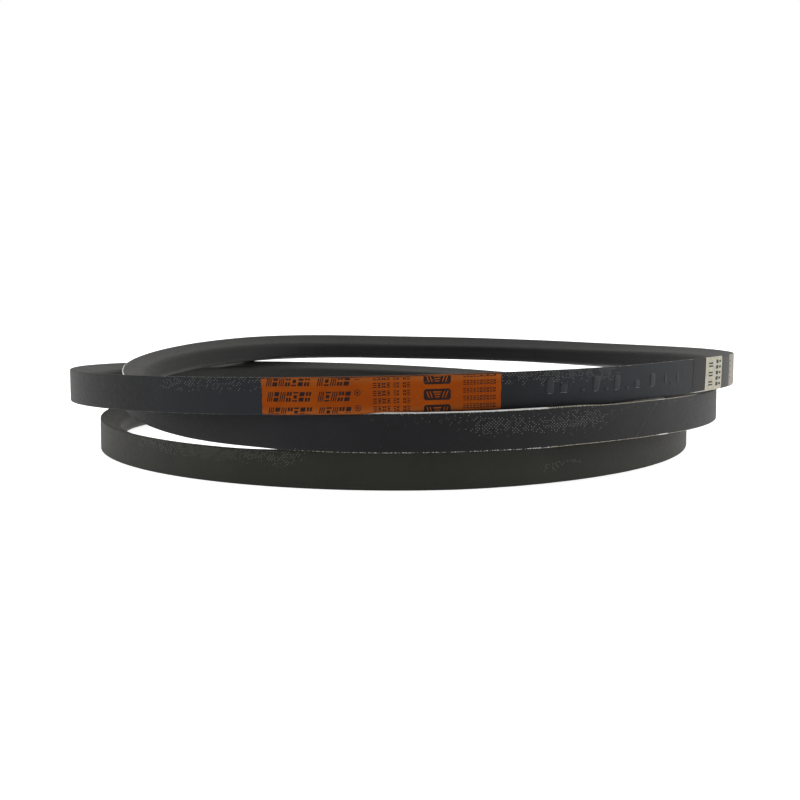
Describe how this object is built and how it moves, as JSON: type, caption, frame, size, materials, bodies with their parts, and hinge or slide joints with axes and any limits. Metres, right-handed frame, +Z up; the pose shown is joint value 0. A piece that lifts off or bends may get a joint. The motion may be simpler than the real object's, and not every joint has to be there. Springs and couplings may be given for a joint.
{
  "type": "v belt",
  "caption": "Endless wrapped V-belt with a trapezoidal section, coiled in flat turns and resting on its side, with a printed label on the outer back face",
  "frame": {"origin": "middle of the coil's footprint, on the surface it rests on", "axes": "+Z is up along the coil's axis, -Y is the front of the coil where the printed label faces, +X is to the right seen from the front; the belt's back faces outward all round"},
  "size_m": [0.378, 0.4034, 0.0543],
  "materials": {
    "cover_outer": "matte",
    "cover_inner": "matte",
    "tension_rubber": "matte",
    "cushion_gum": "matte",
    "compression_rubber": "matte",
    "cord": "matte",
    "label_orange": "satin",
    "label_dark": "satin"
  },
  "bodies": {
    "lower_turn": {"lower_cover_outer": "cover_outer", "lower_cover_inner": "cover_inner", "lower_tension_rubber": "tension_rubber", "lower_cushion_upper": "cushion_gum", "lower_cushion_lower": "cushion_gum", "lower_compression_core": "compression_rubber", "lower_cord_1": "cord", "lower_cord_2": "cord", "lower_cord_3": "cord", "lower_cord_4": "cord", "lower_cord_5": "cord", "lower_cord_6": "cord", "lower_cord_7": "cord", "lower_cord_8": "cord"},
    "middle_turn": {"mid_front_cover_outer": "cover_outer", "mid_front_cover_inner": "cover_inner", "mid_front_tension_rubber": "tension_rubber", "mid_front_cushion_upper": "cushion_gum", "mid_front_cushion_lower": "cushion_gum", "mid_front_compression_core": "compression_rubber", "mid_front_cord_1": "cord", "mid_front_cord_2": "cord", "mid_front_cord_3": "cord", "mid_front_cord_4": "cord", "mid_front_cord_5": "cord", "mid_front_cord_6": "cord", "mid_front_cord_7": "cord", "mid_front_cord_8": "cord", "mid_back_cover_outer": "cover_outer", "mid_back_cover_inner": "cover_inner", "mid_back_tension_rubber": "tension_rubber", "mid_back_cushion_upper": "cushion_gum", "mid_back_cushion_lower": "cushion_gum", "mid_back_compression_core": "compression_rubber", "mid_back_cord_1": "cord", "mid_back_cord_2": "cord", "mid_back_cord_3": "cord", "mid_back_cord_4": "cord", "mid_back_cord_5": "cord", "mid_back_cord_6": "cord", "mid_back_cord_7": "cord", "mid_back_cord_8": "cord"},
    "upper_turn": {"upper_cover_outer": "cover_outer", "upper_cover_inner": "cover_inner", "upper_tension_rubber": "tension_rubber", "upper_cushion_upper": "cushion_gum", "upper_cushion_lower": "cushion_gum", "upper_compression_core": "compression_rubber", "upper_cord_1": "cord", "upper_cord_2": "cord", "upper_cord_3": "cord", "upper_cord_4": "cord", "upper_cord_5": "cord", "upper_cord_6": "cord", "upper_cord_7": "cord", "upper_cord_8": "cord", "size_label": "label_orange", "code_label": "label_dark"}
  },
  "joints": [
    {"name": "spread_middle_turn", "type": "hinge", "parent": "lower_turn", "child": "middle_turn", "pos_m": [0.1615, 0, 0.01793], "axis": [0, 1, 0], "range_deg": [0, 14]},
    {"name": "spread_upper_turn", "type": "hinge", "parent": "middle_turn", "child": "upper_turn", "pos_m": [-0.16825, 0, 0.03568], "axis": [0, -1, 0], "range_deg": [0, 14]}
  ]
}
